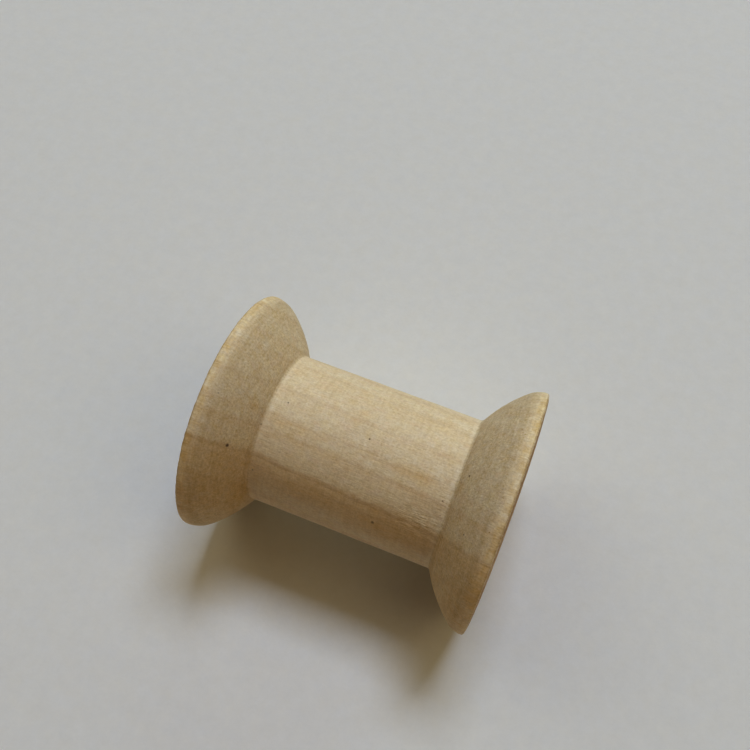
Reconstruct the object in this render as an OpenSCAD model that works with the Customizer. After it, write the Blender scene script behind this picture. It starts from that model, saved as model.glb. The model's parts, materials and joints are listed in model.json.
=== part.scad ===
// Small turned wooden thread spool, lying on its side.
// One billet, drilled through along the grain and turned to a straight barrel between two flared flanges.
// The bore runs along X and the origin is at its middle. Z is up, so the rims rest on z = -flange_d / 2.

/* [Whole spool] */
// Length over the two end faces
length = 27.0; // [20:0.1:60]
// Diameter over the rims of both flanges
flange_d = 22.2; // [17:0.1:50]

/* [Barrel] */
// Diameter of the straight barrel that the thread is wound on
barrel_d = 13.8; // [9:0.1:19]
// Radius of the hollow corner where the barrel meets each flange
corner_r = 1.1; // [0.2:0.1:3]

/* [Flanges] */
// Length of each flange along the axis, from its end face to the corner at the barrel
flange_w = 5.0; // [3.5:0.1:9]
// Length of the rim along the axis, from the end face to where the slope would meet it
rim_w = 1.3; // [0.8:0.05:3]
// Radius of the shoulder that eases the rim into the slope
shoulder_r = 2.2; // [0.2:0.1:4]
// Radius of the broken edge between the rim and the end face
rim_edge_r = 0.3; // [0.05:0.05:0.8]

/* [Crown of the slopes] */
// Place where each slope turns steeper, as a part of its length along the axis from the rim
crown_along = 0.6; // [0.52:0.01:0.75]
// Depth of that place below the rim, as a part of the drop from rim to barrel
crown_down = 0.42; // [0.25:0.01:0.48]
// Radius that crowns the slope there
crown_r = 11.0; // [1:0.5:30]

/* [Bore] */
// Diameter of the bore, which the spool turns on
bore_d = 7.15; // [3:0.05:8.5]
// Width of the small bevel that takes the burr off each mouth of the bore
mouth_bevel = 0.2; // [0.05:0.05:0.5]

/* [Hidden] */
// Facets round the spool
$fn = 180;
// Chords in each rounded corner of the profile
ARC_STEPS = 10;
WOOD = [0.76, 0.63, 0.47];

// Length and drop of a slope, from where it would meet the rim to where it would meet the barrel
SLOPE_W = flange_w - rim_w;
SLOPE_DROP = (flange_d - barrel_d) / 2;
// Corners of the turned profile, each [distance from the middle, distance from the axis, rounding radius]
HALF_PROFILE = [
    [length / 2, flange_d / 2, rim_edge_r],
    [length / 2 - rim_w, flange_d / 2, shoulder_r],
    [length / 2 - rim_w - crown_along * SLOPE_W, flange_d / 2 - crown_down * SLOPE_DROP, crown_r],
    [length / 2 - flange_w, barrel_d / 2, corner_r]
];
// The same corners for the other end, in the order that carries on round the profile
OTHER_HALF = [for (i = [len(HALF_PROFILE) - 1:-1:0]) [-HALF_PROFILE[i][0], HALF_PROFILE[i][1], HALF_PROFILE[i][2]]];
// Closed outline of half a section through the spool: the axis side is cut away later by the bore
AXIS_ENDS = [[-length / 2, 0, 0], [length / 2, 0, 0]];
OUTLINE = concat(HALF_PROFILE, OTHER_HALF, AXIS_ENDS);

// Most of a side that the roundings at its two ends may take together, so that a flat stays between them
ROUNDED_SHARE = 0.98;

function corner(i) = OUTLINE[(i + len(OUTLINE)) % len(OUTLINE)];
function place(i) = [corner(i)[0], corner(i)[1]];
function unit(v) = v / norm(v);
function angle_of(v) = atan2(v[1], v[0]);
// Direction of the side that runs from corner i to corner j
function along(i, j) = unit(place(j) - place(i));
// Half of the angle inside corner i
function half_angle(i) = acos(along(i, i - 1) * along(i, i + 1)) / 2;
// Length of side that the whole radius at corner i takes
function wanted(i) = corner(i)[2] / tan(half_angle(i));
// Part of that length which fits on the side to corner j, beside the rounding there
function fitting(i, j) = min(1, ROUNDED_SHARE * norm(place(i) - place(j)) / max(wanted(i) + wanted(j), 0.001));
// Smallest signed turn from angle a to angle b
function turn(a, b) = (b - a + 540) % 360 - 180;

// Points of the arc that rounds corner i, with as much of its radius as its sides have room for
function rounded(i) =
    let (
        tangent = wanted(i) * min(fitting(i, i - 1), fitting(i, i + 1)),
        radius = tangent * tan(half_angle(i)),
        centre = place(i) + unit(along(i, i - 1) + along(i, i + 1)) * radius / sin(half_angle(i)),
        first = angle_of(place(i) + along(i, i - 1) * tangent - centre),
        last = angle_of(place(i) + along(i, i + 1) * tangent - centre)
    )
    [for (k = [0:ARC_STEPS])
        let (a = first + turn(first, last) * k / ARC_STEPS)
        centre + radius * [cos(a), sin(a)]];

// Outline with every corner that has a radius rounded
ROUNDED_OUTLINE = [for (i = [0:len(OUTLINE) - 1]) each corner(i)[2] > 0 ? rounded(i) : [place(i)]];

// Turned blank, revolved round X
module turned_blank() {
    rotate([90, 0, 90])
        rotate_extrude()
            polygon([for (p = ROUNDED_OUTLINE) [p[1], p[0]]]);
}

// Drill through the whole length, with a bevel at each mouth
module bore_cut() {
    bore_r = bore_d / 2;
    past_face = 1;
    rotate([0, 90, 0])
        cylinder(h = length + 2 * past_face, d = bore_d, center = true);
    for (side = [0, 180])
        rotate([0, 90, side])
            translate([0, 0, length / 2 - mouth_bevel])
                cylinder(h = mouth_bevel + past_face, r1 = bore_r, r2 = bore_r + mouth_bevel + past_face);
}

// The whole spool
module spool() {
    color(WOOD)
        difference() {
            turned_blank();
            bore_cut();
        }
}

spool();
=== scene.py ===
"""Looks of a small turned wooden thread spool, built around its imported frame.

The spool is turned again here at a finer step than the frame's own solid, so that its rims, corners and the ragged
mouths of its bore are real geometry. It is dressed in one block of procedural wood whose growth rings, fibres and
pores run through it, and it is lit and seen as in the photograph. Everything is in metres.
"""

import json
import logging
import math
import random
from dataclasses import dataclass, field
from enum import Enum
from typing import Callable, Iterable, Sequence

import bpy
from mathutils import Matrix, Vector


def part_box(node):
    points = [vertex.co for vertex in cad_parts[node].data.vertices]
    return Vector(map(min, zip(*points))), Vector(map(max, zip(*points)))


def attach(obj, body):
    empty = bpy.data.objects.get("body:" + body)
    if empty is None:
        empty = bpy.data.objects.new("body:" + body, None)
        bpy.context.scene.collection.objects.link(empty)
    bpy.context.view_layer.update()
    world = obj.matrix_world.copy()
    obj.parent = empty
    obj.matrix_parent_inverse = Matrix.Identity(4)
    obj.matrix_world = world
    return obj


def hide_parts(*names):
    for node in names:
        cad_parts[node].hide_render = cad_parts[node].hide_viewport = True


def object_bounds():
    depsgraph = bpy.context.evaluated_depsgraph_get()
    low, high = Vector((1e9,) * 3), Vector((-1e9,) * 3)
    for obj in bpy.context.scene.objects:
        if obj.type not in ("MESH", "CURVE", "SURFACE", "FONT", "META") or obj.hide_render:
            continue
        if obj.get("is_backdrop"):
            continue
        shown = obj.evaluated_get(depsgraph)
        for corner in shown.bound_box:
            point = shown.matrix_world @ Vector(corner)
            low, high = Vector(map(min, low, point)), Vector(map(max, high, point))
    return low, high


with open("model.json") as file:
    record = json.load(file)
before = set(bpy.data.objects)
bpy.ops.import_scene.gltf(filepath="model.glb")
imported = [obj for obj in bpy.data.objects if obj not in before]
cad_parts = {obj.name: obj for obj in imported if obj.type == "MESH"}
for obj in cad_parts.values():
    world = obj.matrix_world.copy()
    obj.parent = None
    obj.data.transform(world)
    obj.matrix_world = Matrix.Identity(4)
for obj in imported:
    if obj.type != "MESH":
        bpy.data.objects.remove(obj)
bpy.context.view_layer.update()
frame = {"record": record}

MM = 0.001
LOG = logging.getLogger("spool")
Point = tuple[float, float, float]


# Shader maths


class Value:
    """A number that varies over a surface, with Python's arithmetic on it."""

    def __init__(self, graph: "Graph", socket: bpy.types.NodeSocket) -> None:
        """Wraps an output socket of a graph."""
        self.graph = graph
        self.socket = socket

    def __add__(self, other: "Number") -> "Value":
        """Self plus other."""
        return self.graph.math("ADD", self, other)

    def __sub__(self, other: "Number") -> "Value":
        """Self less other."""
        return self.graph.math("SUBTRACT", self, other)

    def __rsub__(self, other: "Number") -> "Value":
        """Other less self."""
        return self.graph.math("SUBTRACT", other, self)

    def __mul__(self, other: "Number") -> "Value":
        """Self times other."""
        return self.graph.math("MULTIPLY", self, other)

    def __truediv__(self, other: "Number") -> "Value":
        """Self divided by other."""
        return self.graph.math("DIVIDE", self, other)

    def __neg__(self) -> "Value":
        """Self with its sign turned round."""
        return self.graph.math("MULTIPLY", self, -1.0)

    __radd__ = __add__
    __rmul__ = __mul__


Number = Value | float
Colour = tuple[float, float, float]


class Graph:
    """The node graph of one material, written as expressions."""

    def __init__(self, name: str) -> None:
        """Makes an empty material.

        Args:
            name: The material's name.
        """
        self.material = bpy.data.materials.new(name)
        self.material.use_nodes = True
        self.tree = self.material.node_tree
        self.tree.nodes.clear()

    def node(self, kind: str, settings: dict | None = None, inputs: dict | None = None) -> bpy.types.Node:
        """Adds one node.

        Args:
            kind: The node's Blender type.
            settings: Properties of the node, set first. The key "stops" holds a ramp's (place, colour) pairs.
            inputs: Values or links of its sockets, by name.

        Returns:
            The new node.
        """
        made = self.tree.nodes.new(kind)
        for key, value in (settings or {}).items():
            if key == "stops":
                self._set_stops(made.color_ramp, value)
            else:
                setattr(made, key, value)
        for key, value in (inputs or {}).items():
            self._feed(self._input(made, key), value)
        return made

    def math(self, operation: str, *values: Number, clamp: bool = False) -> Value:
        """Adds a Math node and gives its result."""
        made = self.node("ShaderNodeMath", {"operation": operation, "use_clamp": clamp})
        for socket, value in zip(made.inputs, values):
            self._feed(socket, value)
        return Value(self, made.outputs[0])

    def vector(self, operation: str, *values: object, **named: object) -> bpy.types.NodeSocket:
        """Adds a Vector Math node and gives its vector result."""
        made = self.node("ShaderNodeVectorMath", {"operation": operation}, named)
        for socket, value in zip(made.inputs, values):
            self._feed(socket, value)
        return made.outputs["Vector"]

    def combine(self, x: Number, y: Number, z: Number) -> bpy.types.NodeSocket:
        """Gives the vector of three numbers."""
        return self.node("ShaderNodeCombineXYZ", {}, {"X": x, "Y": y, "Z": z}).outputs[0]

    def split(self, vector: object) -> tuple[Value, ...]:
        """Gives the three numbers of a vector."""
        return tuple(Value(self, s) for s in self.node("ShaderNodeSeparateXYZ", {}, {"Vector": vector}).outputs)

    def length(self, vector: object) -> Value:
        """Gives the length of a vector."""
        made = self.node("ShaderNodeVectorMath", {"operation": "LENGTH"})
        self._feed(made.inputs[0], vector)
        return Value(self, made.outputs["Value"])

    def stretched(self, x: Value, y: Value, z: Value, along: float, across: float) -> bpy.types.NodeSocket:
        """Gives a place scaled by one number along the grain and by another across it."""
        return self.combine(x * along, y * across, z * across)

    def noise(self, place: object, scale: float = 1.0, detail: float = 2.0, rough: float = 0.5, dims: str = "3D") -> Value:
        """Gives smooth noise from 0 to 1.

        Args:
            place: Where it is read, a vector, or a number for one dimension.
            scale: Waves for each unit of place.
            detail: Octaves beyond the first.
            rough: How strong the finer octaves are.
            dims: "1D" or "3D".
        """
        key = "W" if dims == "1D" else "Vector"
        made = self.node("ShaderNodeTexNoise", {"noise_dimensions": dims, "normalize": True},
                         {key: place, "Scale": scale, "Detail": detail, "Roughness": rough})
        return Value(self, made.outputs[0])

    def step(self, value: Number, low: float, high: float) -> Value:
        """Eases from 0 where value is low to 1 where it is high; low may be the larger."""
        made = self.node("ShaderNodeMapRange", {"interpolation_type": "SMOOTHSTEP", "clamp": True},
                         {"Value": value, "From Min": low, "From Max": high, "To Min": 0.0, "To Max": 1.0})
        return Value(self, made.outputs[0])

    def mix(self, factor: Number, a: object, b: object, blend: str = "MIX") -> bpy.types.NodeSocket:
        """Mixes two colours.

        Args:
            factor: 0 gives a, 1 gives b.
            a: A colour or a link to one.
            b: A colour or a link to one.
            blend: Blender's blend type.
        """
        made = self.node("ShaderNodeMix", {"data_type": "RGBA", "blend_type": blend, "clamp_factor": True},
                         {"Factor": factor, "A": a, "B": b})
        return next(s for s in made.outputs if s.enabled)

    def _input(self, made: bpy.types.Node, name: str) -> bpy.types.NodeSocket:
        """Gives the input in use that has a name."""
        return next(s for s in made.inputs if s.name == name and s.enabled)

    def _feed(self, socket: bpy.types.NodeSocket, value: object) -> None:
        """Links a value into a socket, or writes a plain number or colour on it."""
        if isinstance(value, Value):
            self.tree.links.new(value.socket, socket)
        elif isinstance(value, bpy.types.NodeSocket):
            self.tree.links.new(value, socket)
        elif socket.type == "RGBA" and not isinstance(value, (int, float)):
            socket.default_value = (*value, 1.0)
        else:
            socket.default_value = value

    def _set_stops(self, ramp: bpy.types.ColorRamp, stops: Sequence[tuple[float, Colour]]) -> None:
        """Writes the stops of a colour ramp."""
        while len(ramp.elements) < len(stops):
            ramp.elements.new(0.5)
        for element, (place, colour) in zip(ramp.elements, stops):
            element.position = place
            element.color = (*colour, 1.0)


# Wood


@dataclass(frozen=True)
class Speck:
    """A pin knot or an open pore that shows as a dark point.

    Attributes:
        along: Place along the bore's axis, in millimetres.
        angle: Angle round it in degrees, from the front (0) over the top (90).
        radius: Distance from the axis, in millimetres.
        size: Radius of the mark, in millimetres.
        dark: How dark its middle is, from 0 to 1.
    """

    along: float
    angle: float
    radius: float
    size: float
    dark: float

    def place(self) -> Point:
        """Gives its place in millimetres."""
        return on_surface(self.along, self.angle, self.radius)


@dataclass(frozen=True)
class Ring:
    """The end of one year's growth: late wood that darkens up to a thin line, and pale wood past it.

    Attributes:
        depth: Place across the rings, in millimetres.
        late: How dark the late wood gets, from 0 to 1.
        line: How dark its last thin line is, from 0 to 1.
        width: Width of the late wood, in millimetres.
    """

    depth: float
    late: float
    line: float
    width: float = 0.8


@dataclass(frozen=True)
class Blush:
    """A soft patch of another tone in the wood.

    Attributes:
        along: Place along the bore's axis, in millimetres.
        angle: Angle round it in degrees, from the front (0) over the top (90).
        radius: Distance from the axis, in millimetres.
        reach: Half of its length along the axis, in millimetres.
        width: Half of its width across the grain, in millimetres.
        strength: How much of the tone shows in its middle, from 0 to 1.
    """

    along: float
    angle: float
    radius: float
    reach: float
    width: float
    strength: float

    def place(self) -> Point:
        """Gives its place in millimetres."""
        return on_surface(self.along, self.angle, self.radius)


def on_surface(along: float, angle: float, radius: float) -> Point:
    """Gives the point at a place along the axis, an angle round it and a distance from it."""
    turn = math.radians(angle)
    return (along, -radius * math.cos(turn), radius * math.sin(turn))


RINGS = (
    Ring(-9.9, 0.4, 0.2),
    Ring(-8.4, 0.5, 0.1, 1.3),
    Ring(-6.3, 0.4, 0.2, 1.0),
    Ring(-4.05, 0.75, 0.2, 1.8),
    Ring(-3.22, 1.0, 0.6, 1.1),
    Ring(-0.62, 0.55, 0.25, 1.4),
    Ring(0.75, 0.35, 0.2, 0.9),
    Ring(3.1, 0.25, 0.25, 1.2),
    Ring(5.45, 0.4, 0.25, 1.6),
    Ring(6.75, 0.4, 0.2, 0.8),
    Ring(9.1, 0.4, 0.3, 1.5),
    Ring(10.4, 0.3, 0.2),
)

SPECKS = (
    Speck(-10.04, 51, 9.13, 0.16, 0.9),
    Speck(-7.09, 88, 6.9, 0.08, 0.6),
    Speck(0.49, 84, 6.9, 0.08, 0.7),
    Speck(9.22, 82, 8.05, 0.1, 0.8),
    Speck(2.96, 27, 6.9, 0.14, 0.6),
    Speck(10.37, 53, 9.51, 0.09, 0.8),
    Speck(10.17, 50, 9.29, 0.06, 0.7),
    Speck(7.88, 62, 6.9, 0.07, 0.6),
    Speck(8.08, 52, 6.9, 0.06, 0.6),
    Speck(8.82, 40, 7.43, 0.08, 0.6),
    Speck(-8.49, 67, 6.96, 0.08, 0.5),
    Speck(-8.14, 32, 6.9, 0.09, 0.5),
    Speck(5.91, 29, 6.9, 0.06, 0.5),
    Speck(-11.74, 74, 10.72, 0.06, 0.5),
)

TAN_BLUSHES = (
    Blush(4.92, 72, 6.9, 2.2, 0.75, 0.6),
    Blush(-5.91, 72, 6.9, 2.6, 0.6, 0.35),
    Blush(-9.34, 77, 8.24, 1.4, 0.7, 0.4),
    Blush(8.87, 75, 7.51, 0.9, 0.6, 0.5),
    Blush(-0.98, 97, 6.9, 1.0, 0.9, 0.25),
    Blush(4.43, 27, 6.9, 5.5, 2.3, 0.65),
    Blush(-1.97, 30, 6.9, 4.5, 1.5, 0.5),
    Blush(-10.14, 24, 9.24, 3.4, 4.8, 0.5),
    Blush(-9.04, 8, 7.78, 1.2, 3.5, 0.8),
    Blush(-12.34, 12, 10.8, 1.2, 4.5, 0.6),
    Blush(12.67, 30, 11.0, 1.3, 2.6, 0.75),
    Blush(11.87, 14, 10.4, 1.8, 5.0, 0.55),
)

TORN_GRAIN = (
    Blush(6.5, 41, 6.9, 2.6, 1.7, 1.0),
    Blush(8.08, 62, 6.9, 0.8, 2.2, 0.6),
)


@dataclass(frozen=True)
class BareWood:
    """Unfinished pale hardwood, cut along the grain on the barrel and across it on the end faces.

    Lengths are in millimetres, and colours are linear.
    """

    cream: Colour = (0.812, 0.688, 0.492)
    tan: Colour = (0.765, 0.610, 0.405)
    pink: Colour = (0.795, 0.620, 0.435)
    honey: Colour = (0.730, 0.515, 0.235)
    rim_pale: Colour = (0.850, 0.710, 0.470)
    rim_tan: Colour = (0.740, 0.550, 0.275)
    late_wood: Colour = (0.715, 0.505, 0.265)
    ring_line: Colour = (0.400, 0.235, 0.105)
    # Painted warm shade: a warm tint laid on the lower front, which the lamps leave in shade, standing in for the
    # warmer light there.
    warm_shade_tint: Colour = (1.030, 0.970, 0.830)
    slope_loss: Colour = (0.868, 0.852, 0.808)
    corner_loss: Colour = (0.860, 0.820, 0.760)
    # Painted highlight: a cool lightening of the barrel just before each corner.
    painted_highlight_tint: Colour = (1.020, 1.035, 1.060)
    end_grain: Colour = (0.540, 0.345, 0.165)
    end_dark: Colour = (0.420, 0.245, 0.100)
    end_pale: Colour = (0.660, 0.480, 0.270)
    speck: Colour = (0.09, 0.05, 0.025)
    ring_facing: float = 11.5
    ring_tilt: float = 0.045
    ring_bend: float = 60.0
    ring_shift: float = 0.5
    # Where the painted warm shade is full and where it has faded out, measured across the rings.
    warm_shade_starts: float = -8.0
    warm_shade_fades: float = 2.0
    sanded_across: float = 21.0
    corner_at: float = 8.72
    rim_starts: float = 12.45
    face_starts: float = 12.95
    rim_radius: float = 11.1
    bore_radius: float = 3.575

    def material(self) -> bpy.types.Material:
        """Builds the wood's material.

        Returns:
            The material, which reads object coordinates and the surface's own facing.
        """
        graph = Graph("turned_wood")
        coordinates = graph.node("ShaderNodeTexCoord")
        place = graph.vector("SCALE", coordinates.outputs["Object"], Scale=1.0 / MM)
        x, y, z = graph.split(place)
        along = graph.math("ABSOLUTE", x)
        radius = graph.math("SQRT", y * y + z * z)
        open_grain = graph.math("ABSOLUTE", graph.split(coordinates.outputs["Normal"])[0])
        girth = along * 0.75 + radius * 0.66

        fleck = graph.noise(graph.stretched(x, y, z, 1.9, 6.5), detail=2.0, rough=0.6) - 0.5
        fibre = graph.noise(graph.stretched(x, y, z, 0.45, 7.0), detail=3.0, rough=0.55) - 0.5
        grit = graph.noise(place, 5.5, 2.0, 0.65) - 0.5
        chatter = graph.noise(graph.stretched(girth, y, z, 5.5, 0.5), detail=2.0, rough=0.6) - 0.5
        mottle = graph.noise(graph.stretched(x, y, z, 0.38, 0.75), detail=2.0, rough=0.6) - 0.5
        warmth = graph.noise(graph.stretched(x, y, z, 0.9, 1.7), detail=3.0, rough=0.65) - 0.5
        blotch = graph.noise(place, 1.5, 3.0, 0.75) - 0.5
        depth, late, line = self._rings(graph, place, x, y, z)
        # Painted warm shade: 1 low on the front, where shade falls, easing to 0 over the top.
        warm_shade_tint = graph.step(depth, self.warm_shade_fades, self.warm_shade_starts)

        face = graph.step(open_grain, 0.80, 0.97) * graph.step(along, self.face_starts, self.face_starts + 0.15)
        slope = graph.step(open_grain, 0.15, 0.55) * (1.0 - face)
        edge = along + grit * 0.5
        rim = graph.step(edge, self.rim_starts - 0.15, self.rim_starts + 0.2) * graph.step(radius, 10.4, 10.9) * (1.0 - face)
        corner = self._band(graph, along + grit * 0.2, self.corner_at - 0.04, self.corner_at + 0.04, 0.12)
        # Painted highlight: a narrow band on the barrel next to each corner.
        highlight_strip = self._band(graph, along, self.corner_at - 0.55, self.corner_at - 0.35, 0.2) * (1.0 - slope)
        shoulder = self._band(graph, edge, self.rim_starts - 0.6, self.rim_starts - 0.3, 0.4)
        outside = graph.step(radius, 5.0, 6.0)

        colour = graph.mix(graph.step(mottle, -0.15, 0.25) * 0.5, self.cream, self.tan)
        colour = graph.mix(graph.step(warmth, -0.05, 0.25) * 0.6, colour, self.pink)
        patch = graph.step(graph.noise(place, 0.9, 2.0, 0.6), 0.38, 0.62)
        colour = graph.mix(rim * 0.7, colour, graph.mix(patch, self.rim_pale, self.rim_tan))
        colour = graph.mix(self._patches(graph, place, TAN_BLUSHES) * (0.85 + warmth * 1.2), colour, self.honey)
        colour = graph.mix(late * 0.5, colour, self.late_wood)
        colour = graph.mix(line * (1.0 - 0.45 * slope), colour, self.ring_line)
        white = (1.0, 1.0, 1.0)
        # Painted warm shade: the colour grows warmer towards the lower front.
        colour = graph.vector("MULTIPLY", colour, graph.mix(warm_shade_tint * (1.0 - face), white, self.warm_shade_tint))
        colour = graph.vector("MULTIPLY", colour, graph.mix(slope, white, self.slope_loss))
        colour = graph.vector("MULTIPLY", colour, graph.mix(corner * outside * (0.4 + fleck * 1.5), white, self.corner_loss))
        colour = graph.vector("MULTIPLY", colour, graph.mix(shoulder * 0.35 * slope, white, self.corner_loss))
        # Painted highlight along the barrel's ends, next to the corners.
        colour = graph.vector("MULTIPLY", colour, graph.mix(highlight_strip * outside, white, self.painted_highlight_tint))
        combing = self._combing(graph, x, y, z) * face
        pits = graph.step(fleck, 0.11, 0.19) * shoulder * outside * graph.step(x, -9.0, 12.0) * graph.step(warmth, -0.1, 0.1) * 0.6 + graph.step(graph.noise(place, 9.0, 1.0), 0.56, 0.7) * face * 0.16
        colour = graph.mix(face, colour, self._end_grain(graph, place, radius, mottle, late, line, grit))
        torn = self._patches(graph, place, TORN_GRAIN)
        strokes = graph.noise(graph.stretched(x, y, z, 1.6, 9.0), detail=1.0, rough=0.6) - 0.5
        uneven = (fleck * 0.30 + strokes * torn * 0.95 + fibre * (0.14 + 0.22 * rim) + grit * (0.44 + 0.25 * slope - 0.2 * face) - pits
                  + chatter * (0.22 + 0.15 * slope + 0.15 * rim) + blotch * (0.24 + 0.20 * slope) + combing * 0.9)
        tinge = graph.noise(graph.stretched(x, y, z, 1.1, 1.8), detail=3.0, rough=0.85) - 0.5
        hue = (tinge * 1.6 + grit * 0.35) * (1.0 + slope * 0.35 + rim * 0.6)
        shade = graph.combine(1.0 + uneven * 0.75 + hue * 0.05, 1.0 + uneven, 1.0 + uneven * 1.6 - hue * 0.22)
        colour = graph.vector("MULTIPLY", colour, shade)
        colour = graph.mix(self._specks(graph, place), colour, self.speck)

        relief = fleck * 0.8 + strokes * torn * 2.0 + fibre * 0.9 + grit * 0.8 + chatter * 0.9 + combing * 1.5 - line * 0.3
        bump = graph.node("ShaderNodeBump", {}, {"Strength": 0.6, "Distance": 0.04 * MM, "Height": relief})
        rough = 0.64 + fibre * 0.2 - rim * 0.1
        shader = graph.node("ShaderNodeBsdfPrincipled", {}, {
            "Base Color": colour, "Roughness": rough, "Normal": bump.outputs[0], "IOR": 1.45,
            "Specular IOR Level": 0.35})
        graph.node("ShaderNodeOutputMaterial", {}, {"Surface": shader.outputs[0]})
        return graph.material

    def _band(self, graph: Graph, value: Value, low: float, high: float, soft: float) -> Value:
        """Gives 1 where a value lies between two others, easing to 0 over a soft edge outside them."""
        return graph.step(value, low - soft, low) * graph.step(value, high + soft, high)

    def _end_grain(self, graph: Graph, place: object, radius: Value, mottle: Value, late: Value, line: Value,
                   grit: Value) -> bpy.types.NodeSocket:
        """Gives the colour of the end faces: brown end grain with pale arcs, a painted highlight along the outer edge
        and a pale ragged mouth.

        Args:
            graph: The material's graph.
            place: The point in millimetres.
            radius: Distance from the bore's axis.
            mottle: Broad unevenness, about 0.
            late: The late wood's tone.
            line: The rings' thin lines.
            grit: Fine unevenness, about 0.

        Returns:
            The colour.
        """
        fade = graph.step(graph.noise(place, 0.28, 2.0), 0.35, 0.65)
        dark = graph.step(radius, 8.8, 10.9) * 0.35 + graph.step(mottle, -0.2, 0.25) * 0.35
        colour = graph.mix(dark, self.end_grain, self.end_dark)
        colour = graph.mix(late * fade * 0.7, colour, self.end_pale)
        colour = graph.mix(line * fade * 0.5, colour, self.ring_line)
        ragged = radius + grit * 0.9
        # The pale ragged mouth is bare cut wood. The pale band at the outer edge is a painted highlight where the
        # rim's edge catches the light.
        pale = graph.math("MAXIMUM", graph.step(ragged, self.bore_radius + 0.30, self.bore_radius + 0.05),
                          graph.step(ragged, self.rim_radius - 0.35, self.rim_radius - 0.15) * 0.6)
        return graph.mix(pale, colour, self.cream)

    def _rings(self, graph: Graph, place: object, x: Value, y: Value, z: Value) -> tuple[Value, Value, Value]:
        """Gives the place across the growth rings, and the late wood's tone and the thin dark line at each.

        Args:
            graph: The material's graph.
            place: The point in millimetres.
            x: Its place along the bore.
            y: Its place from front to back.
            z: Its height.

        Returns:
            The place in millimetres, low towards the tree's pith, and the tone and the line, each from 0 to 1.
        """
        turn = math.radians(self.ring_facing)
        wander = graph.noise(place, 0.17, 2.0, 0.5) - 0.5
        ragged = graph.noise(graph.stretched(x, y, z, 0.8, 3.0), detail=2.0) - 0.5
        across = z * math.cos(turn) - y * math.sin(turn)
        depth = y * math.cos(turn) + z * math.sin(turn) + x * self.ring_tilt + across * across / self.ring_bend
        depth = depth + wander * 0.5 + ragged * 0.22 + self.ring_shift
        broken = graph.step(graph.noise(graph.stretched(x, y, z, 0.4, 1.2), detail=2.0), 0.32, 0.62)
        late: Number = 0.0
        line: Number = 0.0
        for ring in RINGS:
            past = graph.step(depth, ring.depth + 0.5, ring.depth - 0.05)
            late = late + graph.step(depth, ring.depth - ring.width, ring.depth) * past * ring.late
            line = line + graph.step(depth, ring.depth - 0.2, ring.depth) * past * ring.line
        return depth, late, line * (0.25 + 0.75 * broken) * 0.5

    def _combing(self, graph: Graph, x: Value, y: Value, z: Value) -> Value:
        """Gives the fine straight lines that sanding left across the end faces."""
        turn = math.radians(self.sanded_across)
        with_rings = z * math.cos(turn) - y * math.sin(turn)
        across_rings = y * math.cos(turn) + z * math.sin(turn)
        fine = graph.noise(graph.combine(with_rings * 9.0, across_rings * 0.3, x), detail=2.0, rough=0.7) - 0.5
        deep = graph.step(graph.noise(graph.combine(with_rings * 6.0, across_rings * 0.15, x), detail=1.0), 0.62, 0.74)
        return fine * 0.6 + deep * 0.14

    def _patches(self, graph: Graph, place: object, patches: Sequence[Blush]) -> Value:
        """Gives the mask of soft patches."""
        mask: Number = 0.0
        for blush in patches:
            gap = graph.vector("SUBTRACT", place, blush.place())
            gap = graph.vector("MULTIPLY", gap, (1.0 / blush.reach, 1.0 / blush.width, 1.0 / blush.width))
            mask = graph.math("MAXIMUM", mask, graph.step(graph.length(gap), 1.3, 0.1) * blush.strength)
        return mask

    def _specks(self, graph: Graph, place: object) -> Value:
        """Gives the mask of the dark points."""
        mask: Number = 0.0
        for speck in SPECKS:
            gap = graph.length(graph.vector("SUBTRACT", place, speck.place()))
            mask = graph.math("MAXIMUM", mask, graph.step(gap, speck.size * 1.4, speck.size * 0.4) * speck.dark)
        return mask


@dataclass(frozen=True)
class Paper:
    """Plain pale surface that the spool lies on."""

    tint: Colour = (0.80, 0.80, 0.80)

    def material(self) -> bpy.types.Material:
        """Builds the floor's material."""
        graph = Graph("pale_floor")
        place = graph.node("ShaderNodeTexCoord").outputs["Object"]
        tooth = graph.noise(place, 1.0 / (0.35 * MM), 3.0, 0.6)
        cloud = graph.noise(place, 1.0 / (1.6 * MM), 4.0, 0.85) - 0.5
        tinge = graph.noise(place, 1.0 / (2.2 * MM), 3.0, 0.7) - 0.5
        light = 1.0 + cloud * 0.12
        colour = graph.vector("MULTIPLY", self.tint, graph.combine(light + tinge * 0.03, light, light - tinge * 0.07))
        bump = graph.node("ShaderNodeBump", {}, {"Strength": 0.15, "Distance": 0.05 * MM, "Height": tooth})
        shader = graph.node("ShaderNodeBsdfPrincipled", {}, {
            "Base Color": colour, "Roughness": 0.9, "Normal": bump.outputs[0]})
        graph.node("ShaderNodeOutputMaterial", {}, {"Surface": shader.outputs[0]})
        return graph.material


# Modelling by hand


def clear_selection() -> None:
    """Leaves object mode with nothing selected."""
    if bpy.context.object and bpy.context.object.mode != "OBJECT":
        bpy.ops.object.mode_set(mode="OBJECT")
    bpy.ops.object.select_all(action="DESELECT")


def pick_points(obj: bpy.types.Object, wanted: Callable[[Vector], bool]) -> int:
    """Selects the vertices of a mesh by place, in edit mode.

    Args:
        obj: The mesh being edited.
        wanted: Says whether a vertex at a place is selected.

    Returns:
        How many were selected.
    """
    bpy.ops.mesh.select_mode(type="VERT")
    bpy.ops.mesh.select_all(action="DESELECT")
    bpy.ops.object.mode_set(mode="OBJECT")
    count = 0
    for vertex in obj.data.vertices:
        vertex.select = wanted(vertex.co)
        count += vertex.select
    bpy.ops.object.mode_set(mode="EDIT")
    return count


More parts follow.
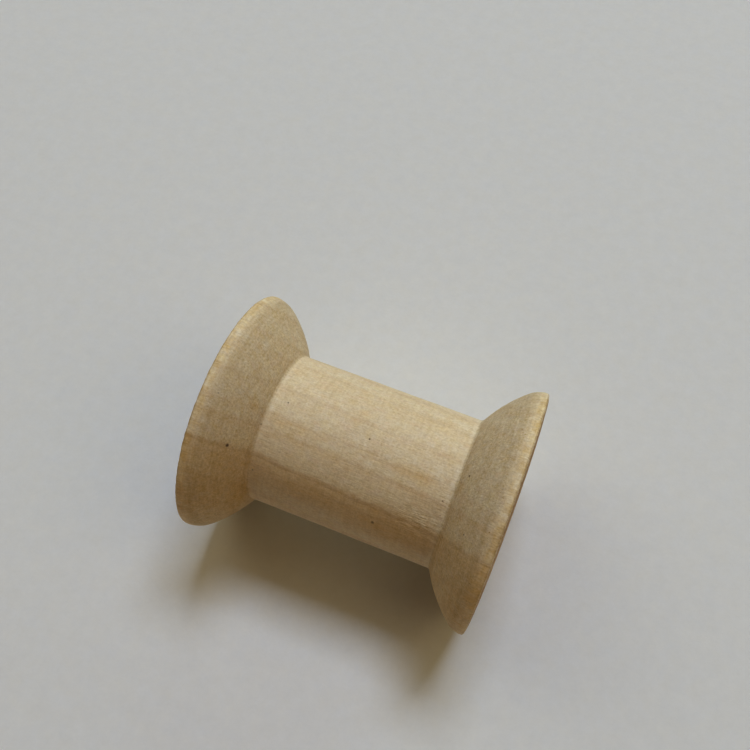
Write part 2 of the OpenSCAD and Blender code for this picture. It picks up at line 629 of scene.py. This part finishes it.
def pick_edges(obj: bpy.types.Object, wanted: Callable[[Vector, Vector], bool]) -> int:
    """Selects the edges of a mesh by the places of their two ends, in edit mode.

    Args:
        obj: The mesh being edited.
        wanted: Says whether an edge between two places is selected.

    Returns:
        How many were selected.
    """
    bpy.ops.mesh.select_mode(type="EDGE")
    bpy.ops.mesh.select_all(action="DESELECT")
    bpy.ops.object.mode_set(mode="OBJECT")
    count = 0
    points = obj.data.vertices
    for edge in obj.data.edges:
        a, b = edge.vertices
        edge.select = wanted(points[a].co, points[b].co)
        count += edge.select
    bpy.ops.object.mode_set(mode="EDIT")
    return count


def near(a: float, b: float) -> bool:
    """Says whether two places are the same to a micrometre."""
    return abs(a - b) < 1e-6


@dataclass
class TurnedSpool:
    """The turning itself: bore, end faces, rims, crowned slopes and barrel, in one piece of wood.

    Attributes:
        length: Length over the end faces.
        flange_d: Diameter over the rims.
        bore_d: Diameter of the bore.
    """

    length: float
    flange_d: float
    bore_d: float
    barrel_d: float = 13.8 * MM
    flange_w: float = 5.0 * MM
    rim_w: float = 1.3 * MM
    shoulder_r: float = 2.2 * MM
    rim_edge_r: float = 0.25 * MM
    face_fall: float = 0.3 * MM
    face_fall_w: float = 2.6 * MM
    face_fall_r: float = 40.0 * MM
    corner_r: float = 0.32 * MM
    crown_along: float = 0.6
    crown_down: float = 0.42
    crown_r: float = 11.0 * MM
    mouth_bevel: float = 0.2 * MM
    steps_round: int = 390
    mouth_rows: tuple[float, ...] = (0.3 * MM, 0.45 * MM, 0.65 * MM)

    def build(self) -> bpy.types.Object:
        """Turns the spool.

        Returns:
            The finished mesh object.
        """
        spool = self._section()
        self._round_corners(spool)
        self._divide(spool)
        self._turn(spool)
        self._weather(spool)
        return spool

    def _stations(self) -> tuple[tuple[float, float], ...]:
        """Gives the outline's corners as (distance from the middle, distance from the axis), from face to barrel."""
        half, rim, barrel = self.length / 2, self.flange_d / 2, self.barrel_d / 2
        slope_w, slope_drop = self.flange_w - self.rim_w, rim - barrel
        crown = (half - self.rim_w - self.crown_along * slope_w, rim - self.crown_down * slope_drop)
        return (half - self.face_fall, rim), (half - self.rim_w, rim), crown, (half - self.flange_w, barrel)

    def _section(self) -> bpy.types.Object:
        """Cuts the outline of half a section from a flat plate and leaves its wire.

        Returns:
            The wire from bore to rim, still in edit mode.
        """
        half, rim, bore = self.length / 2, self.flange_d / 2, self.bore_d / 2
        clear_selection()
        bpy.ops.mesh.primitive_plane_add(size=1.0, location=(0, 0, (rim + bore) / 2), rotation=(math.pi / 2, 0, 0))
        obj = bpy.context.object
        obj.name = obj.data.name = "turned_spool"
        obj.scale = (self.length, rim - bore, 1)
        bpy.ops.object.transform_apply(location=True, rotation=True, scale=True)
        bpy.ops.object.mode_set(mode="EDIT")
        for x, _ in self._stations()[1:]:
            for side in (-1, 1):
                bpy.ops.mesh.select_all(action="SELECT")
                bpy.ops.mesh.bisect(plane_co=(side * x, 0, 0), plane_no=(1, 0, 0))
        for x, height in self._stations()[2:]:
            pick_points(obj, lambda p: near(abs(p.x), x) and near(p.z, rim))
            bpy.ops.transform.translate(value=(0, 0, height - rim))
        bpy.ops.mesh.select_all(action="SELECT")
        bpy.ops.mesh.delete(type="ONLY_FACE")
        pick_edges(obj, lambda a, b: near(a.x, b.x) and abs(a.x) < half - 1e-5)
        bpy.ops.mesh.delete(type="EDGE")
        pick_points(obj, lambda p: near(p.z, bore) and abs(p.x) < half - 1e-5)
        bpy.ops.mesh.dissolve_verts()
        pick_edges(obj, lambda a, b: near(a.x, b.x))
        bpy.ops.mesh.bisect(plane_co=(0, 0, rim - self.face_fall_w), plane_no=(0, 0, 1))
        for side in (-1, 1):
            pick_points(obj, lambda p: near(p.x, side * half) and near(p.z, rim))
            bpy.ops.transform.translate(value=(-side * self.face_fall, 0, 0))
        return obj

    def _round_corners(self, obj: bpy.types.Object) -> None:
        """Rounds each corner of the outline with its own radius.

        Args:
            obj: The outline's wire, in edit mode.
        """
        edge, shoulder, crown, corner = self._stations()
        upper = math.atan2(shoulder[1] - crown[1], shoulder[0] - crown[0])
        lower = math.atan2(crown[1] - corner[1], crown[0] - corner[0])
        mouth = (self.length / 2, self.bore_d / 2)
        bend = (self.length / 2, edge[1] - self.face_fall_w)
        fall = math.atan2(self.face_fall, self.face_fall_w)
        corners = (
            (edge, self.rim_edge_r, math.pi / 2 - fall, 6),
            (bend, self.face_fall_r, fall, 14),
            (shoulder, self.shoulder_r, upper, 8),
            (crown, self.crown_r, lower - upper, 10),
            (corner, self.corner_r, lower, 8),
            (mouth, self.mouth_bevel, math.pi / 2, 3),
        )
        for (x, z), radius, turn, segments in corners:
            pick_points(obj, lambda p: near(abs(p.x), x) and near(p.z, z))
            bpy.ops.mesh.bevel(offset_type="OFFSET", offset=radius * math.tan(turn / 2), segments=segments,
                               profile=0.5, affect="VERTICES", clamp_overlap=False)

    def _divide(self, obj: bpy.types.Object) -> None:
        """Divides the long straight sides, finely where the wood has relief and coarsely in the bore.

        Args:
            obj: The outline's wire, in edit mode.
        """
        half, bore, barrel = self.length / 2, self.bore_d / 2, self.barrel_d / 2
        sides = (
            (lambda a, b: near(a.z, bore) and near(b.z, bore), 1.0 * MM),
            (lambda a, b: near(abs(a.x), half) and near(a.x, b.x), 0.25 * MM),
            (lambda a, b: near(a.z, barrel) and near(b.z, barrel), 0.22 * MM),
        )
        for wanted, step in sides:
            pick_edges(obj, wanted)
            longest = max(self._span(obj, edge) for edge in obj.data.edges if edge.select)
            bpy.ops.mesh.subdivide(number_cuts=round(longest / step) - 1)
        for depth in self.mouth_rows:
            for side in (-1, 1):
                bpy.ops.mesh.select_all(action="SELECT")
                bpy.ops.mesh.bisect(plane_co=(side * (half - depth), 0, 0), plane_no=(1, 0, 0))

    def _span(self, obj: bpy.types.Object, edge: bpy.types.MeshEdge) -> float:
        """Gives an edge's length."""
        a, b = (obj.data.vertices[i].co for i in edge.vertices)
        return (a - b).length

    def _turn(self, obj: bpy.types.Object) -> None:
        """Turns the outline round the bore's axis into a closed skin.

        Args:
            obj: The outline's wire, in edit mode.
        """
        bpy.ops.object.mode_set(mode="OBJECT")
        turning = obj.modifiers.new("turning", "SCREW")
        turning.axis = "X"
        turning.angle = 2 * math.pi
        turning.screw_offset = 0.0
        turning.steps = turning.render_steps = self.steps_round
        turning.use_merge_vertices = True
        turning.merge_threshold = 0.002 * MM
        bpy.ops.object.modifier_apply(modifier=turning.name)
        bpy.ops.object.mode_set(mode="EDIT")
        bpy.ops.mesh.select_all(action="SELECT")
        bpy.ops.mesh.remove_doubles(threshold=0.002 * MM)
        bpy.ops.mesh.normals_make_consistent(inside=False)
        bpy.ops.object.mode_set(mode="OBJECT")

    def _weather(self, obj: bpy.types.Object) -> None:
        """Gives the turning the small unevenness of real wood, as real relief.

        Args:
            obj: The turned skin.
        """
        half, rim, bore = self.length / 2, self.flange_d / 2, self.bore_d / 2
        wears = (
            Wear("turning_waver", 2.5 * MM, 0.04 * MM, lambda p, r: 1.0 if r > bore + 0.5 * MM else 0.0),
            Wear("rim_nicks", 0.45 * MM, 0.09 * MM,
                 lambda p, r: ease(r, rim - 0.5 * MM, rim - 0.1 * MM) * ease(abs(p.x), half - 0.7 * MM, half - 0.2 * MM)),
            Wear("ragged_mouth", 0.22 * MM, 0.2 * MM,
                 lambda p, r: ease(r, bore + 0.5 * MM, bore + 0.15 * MM) * ease(abs(p.x), half - 0.5 * MM, half - 0.15 * MM)),
            Wear("torn_grain", 0.4 * MM, 0.1 * MM, self._torn),
        )
        for wear in wears:
            wear.apply(obj)
        clear_selection()
        obj.select_set(True)
        bpy.context.view_layer.objects.active = obj
        bpy.ops.object.shade_smooth_by_angle(angle=math.radians(50))

    def _torn(self, p: Vector, r: float) -> float:
        """Gives how torn the grain is at a place: at the lower front of the barrel, near its right corner."""
        angle = math.degrees(math.atan2(p.z, -p.y))
        outside = ease(r, self.bore_d / 2 + 1 * MM, self.bore_d / 2 + 2 * MM)
        near_corner = ease(p.x, 3.5 * MM, 7.5 * MM) * ease(p.x, 9.2 * MM, 8.5 * MM)
        return outside * near_corner * ease(angle, 22, 32) * ease(angle, 62, 48)


def ease(value: float, low: float, high: float) -> float:
    """Eases from 0 where value is low to 1 where it is high; low may be the larger."""
    t = min(1.0, max(0.0, (value - low) / (high - low)))
    return t * t * (3 - 2 * t)


@dataclass(frozen=True)
class Wear:
    """A shallow relief pressed into a mesh by cloudy noise.

    Attributes:
        name: What it is.
        grain: Size of its dents.
        depth: Height from its deepest to its highest point, half of which is on average taken off.
        share: How strong it is at a place, given the place and its distance from the axis.
    """

    name: str
    grain: float
    depth: float
    share: Callable[[Vector, float], float]

    def apply(self, obj: bpy.types.Object) -> None:
        """Presses the relief into a mesh.

        Args:
            obj: The mesh, which is left with its new shape and no modifier.
        """
        group = obj.vertex_groups.new(name=self.name)
        for vertex in obj.data.vertices:
            p = vertex.co
            share = self.share(p, math.hypot(p.y, p.z))
            if share > 0:
                group.add([vertex.index], share, "REPLACE")
        noise = bpy.data.textures.new(self.name, "CLOUDS")
        noise.noise_scale = self.grain
        noise.noise_depth = 2
        clear_selection()
        bpy.context.view_layer.objects.active = obj
        press = obj.modifiers.new(self.name, "DISPLACE")
        press.texture = noise
        press.texture_coords = "LOCAL"
        press.vertex_group = self.name
        press.mid_level = 1.0
        press.strength = self.depth
        bpy.ops.object.modifier_apply(modifier=press.name)
        obj.vertex_groups.remove(obj.vertex_groups[self.name])
        bpy.data.textures.remove(noise)


@dataclass(frozen=True)
class Lamp:
    """A soft rectangular lamp that faces the spool.

    Attributes:
        name: What it stands for.
        elevation: Height of its middle over the floor, in degrees.
        azimuth: Its way round in degrees, from +X towards +Y.
        width: How wide it looks from the spool, in degrees.
        height: How high it looks from the spool, in degrees.
        strength: Colour that it gives to a white sheet that faces it.
        away: Distance from the spool.
    """

    name: str
    elevation: float
    azimuth: float
    width: float
    height: float
    strength: Colour
    away: float = 1.5

    def hang(self) -> None:
        """Makes the lamp."""
        rise, turn = math.radians(self.elevation), math.radians(self.azimuth)
        way = Vector((math.cos(rise) * math.cos(turn), math.cos(rise) * math.sin(turn), math.sin(rise)))
        light = bpy.data.lights.new(self.name, "AREA")
        light.shape = "RECTANGLE"
        light.size = 2 * self.away * math.tan(math.radians(self.width / 2))
        light.size_y = 2 * self.away * math.tan(math.radians(self.height / 2))
        brightest = max(self.strength)
        light.energy = brightest * math.pi ** 2 * self.away ** 2
        light.color = tuple(part / brightest for part in self.strength)
        lamp = bpy.data.objects.new(self.name, light)
        lamp.location = way * self.away
        lamp.rotation_euler = way.to_track_quat("Z", "Y").to_euler()
        bpy.context.scene.collection.objects.link(lamp)


@dataclass
class Studio:
    """Floor, light and camera, as the photograph has them."""

    floor_z: float
    camera_place: Point = (10.87 * MM, -27.53 * MM, 74.82 * MM)
    camera_forward: Point = (-0.1597, 0.4258, -0.8906)
    camera_right: Point = (0.9277, 0.3730, 0.0119)
    focal_share: float = 890.7 / 750
    lamps: tuple["Lamp", ...] = (
        Lamp("window", 64, 86, 22, 16, (0.398, 0.463, 0.560)),
        Lamp("left_wall", 52, 160, 45, 45, (0.186, 0.180, 0.135)),
        Lamp("right_wall", 55, 5, 40, 40, (0.163, 0.130, 0.070)),
        Lamp("far_wall", 20, 78, 60, 30, (0.157, 0.180, 0.138)),
    )
    room: Colour = (0.061, 0.028, 0.008)
    backdrop: Colour = (0.48, 0.48, 0.475)
    contrast: float = 0.8

    def build(self) -> None:
        """Makes the floor, the lights and the camera."""
        self._floor()
        self._lights()
        self._camera()

    def _floor(self) -> None:
        """Lays the pale floor."""
        clear_selection()
        bpy.ops.mesh.primitive_plane_add(size=2.0, location=(0, 0, self.floor_z))
        floor = bpy.context.object
        floor.name = "floor"
        floor.data.materials.append(Paper().material())
        floor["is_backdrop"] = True

    def _lights(self) -> None:
        """Hangs the lamps, and lets the room fill their shade a little."""
        scene = bpy.context.scene
        for lamp in self.lamps:
            lamp.hang()
        scene.world = scene.world or bpy.data.worlds.new("room")
        scene.world.use_nodes = True
        tree = scene.world.node_tree
        back = next(n for n in tree.nodes if n.type == "BACKGROUND")
        seen = tree.nodes.new("ShaderNodeLightPath").outputs["Is Camera Ray"]
        wall = tree.nodes.new("ShaderNodeMix")
        wall.data_type = "RGBA"
        glow, plain, result = (next(s for s in side if s.name == name and s.enabled)
                               for side, name in ((wall.inputs, "A"), (wall.inputs, "B"), (wall.outputs, "Result")))
        glow.default_value = (*self.room, 1.0)
        plain.default_value = (*self.backdrop, 1.0)
        tree.links.new(seen, next(s for s in wall.inputs if s.name == "Factor" and s.enabled))
        tree.links.new(result, back.inputs["Color"])
        back.inputs["Strength"].default_value = 1.0
        scene.view_settings.view_transform = "Standard"
        scene.view_settings.gamma = self.contrast

    def _camera(self) -> None:
        """Sets the camera where the photograph was taken from."""
        data = bpy.data.cameras.new("camera")
        data.sensor_fit = "HORIZONTAL"
        data.sensor_width = 36.0
        data.lens = 36.0 * self.focal_share
        data.clip_start = 1 * MM
        data.clip_end = 10.0
        camera = bpy.data.objects.new("camera", data)
        back = -Vector(self.camera_forward).normalized()
        right = (Vector(self.camera_right) - back * back.dot(Vector(self.camera_right))).normalized()
        turn = Matrix((right, back.cross(right), back)).transposed()
        camera.matrix_world = Matrix.Translation(self.camera_place) @ turn.to_4x4()
        bpy.context.scene.collection.objects.link(camera)
        bpy.context.scene.camera = camera


def main() -> None:
    """Builds the spool and the studio, and reports each piece."""
    logging.basicConfig(level=logging.INFO, format="%(name)s: %(message)s")
    low, high = (Vector(corner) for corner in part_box("spool"))
    bore = next(m for m in frame["record"]["mounts"] if m["name"] == "bore")
    turned = TurnedSpool(length=high.x - low.x, flange_d=high.z - low.z, bore_d=2 * bore["dims"]["r_mm"] * MM)
    spool = turned.build()
    spool.data.materials.clear()
    spool.data.materials.append(BareWood().material())
    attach(spool, "root")
    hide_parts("spool")
    LOG.info("%s: %d vertices", spool.name, len(spool.data.vertices))
    Studio(floor_z=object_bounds()[0][2]).build()


if __name__ == "__main__":
    main()
